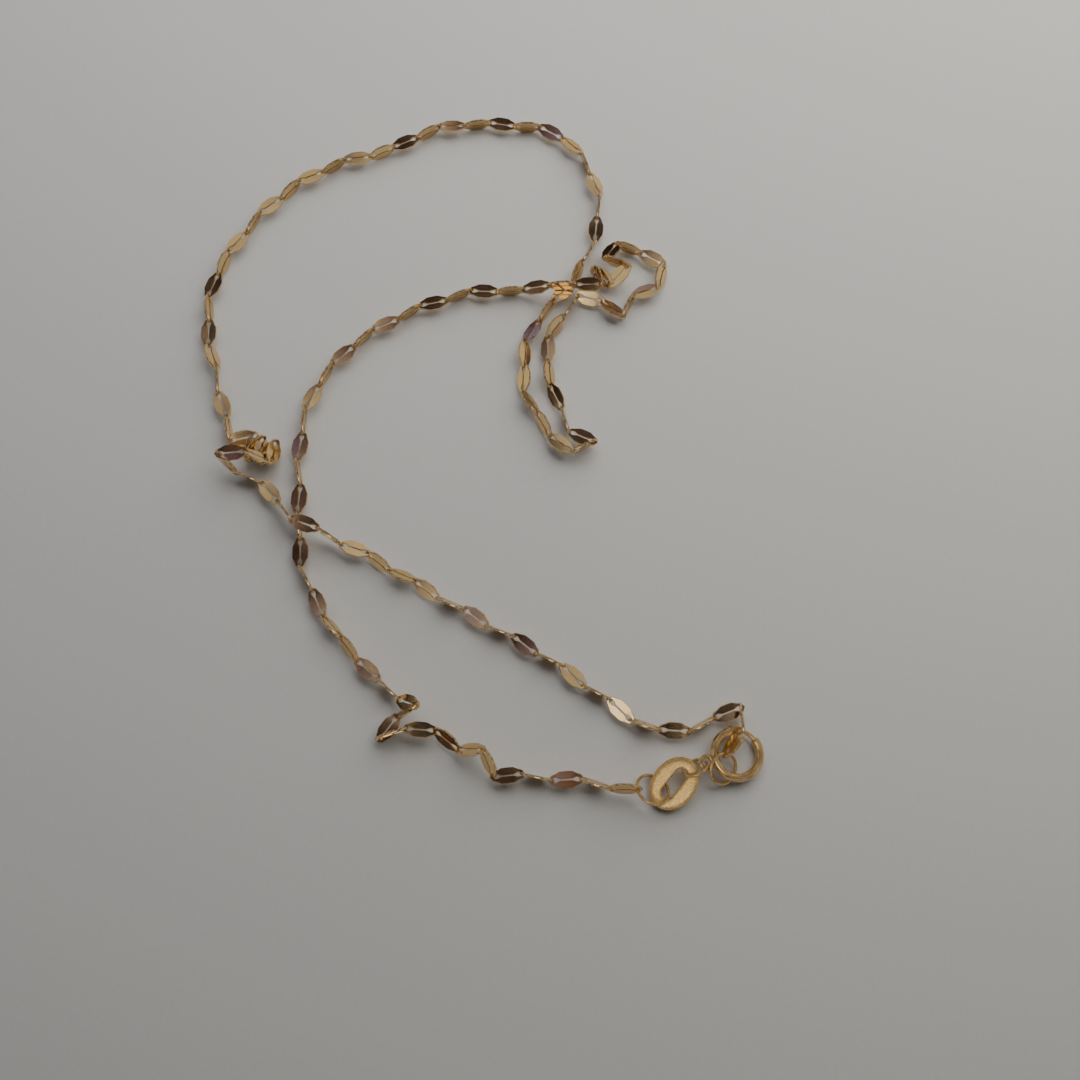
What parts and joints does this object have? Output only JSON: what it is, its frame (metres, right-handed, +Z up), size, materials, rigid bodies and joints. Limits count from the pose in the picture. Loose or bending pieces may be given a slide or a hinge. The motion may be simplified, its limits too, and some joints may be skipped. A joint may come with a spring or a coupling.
{
  "type": "chain necklace",
  "caption": "Gold necklace chain of flat leaf-sided links with a spring-ring clasp and a slotted oval tag, laid out closed and crossing over itself",
  "frame": {"origin": "middle of the footprint, at the height of the table that the chain lies on", "axes": "+Z is up from the table, +Y runs away from the viewer along the longer side of the layout, +X is to the viewer's right, where the clasp lies"},
  "size_m": [0.0608, 0.0798, 0.0034],
  "materials": {
    "polished_gold": "polished yellow gold",
    "satin_gold": "satin yellow gold, struck plate"
  },
  "bodies": {
    "necklace": {"chain_inner": "polished_gold", "chain_outer": "polished_gold", "jump_ring_tag_side": "polished_gold", "jump_ring_middle": "polished_gold", "jump_ring_clasp_side": "polished_gold", "spring_ring": "polished_gold", "tag": "satin_gold"},
    "bolt": {"spring_ring_bolt": "polished_gold"}
  },
  "joints": [
    {"name": "bolt_slide_back", "type": "hinge", "parent": "necklace", "child": "bolt", "pos_m": [0.0276, -0.03438, 0.00086], "axis": [0.1392, 0, 0.9903], "range_deg": [0, 44], "stiffness_Nm_per_rad": 0.004}
  ]
}
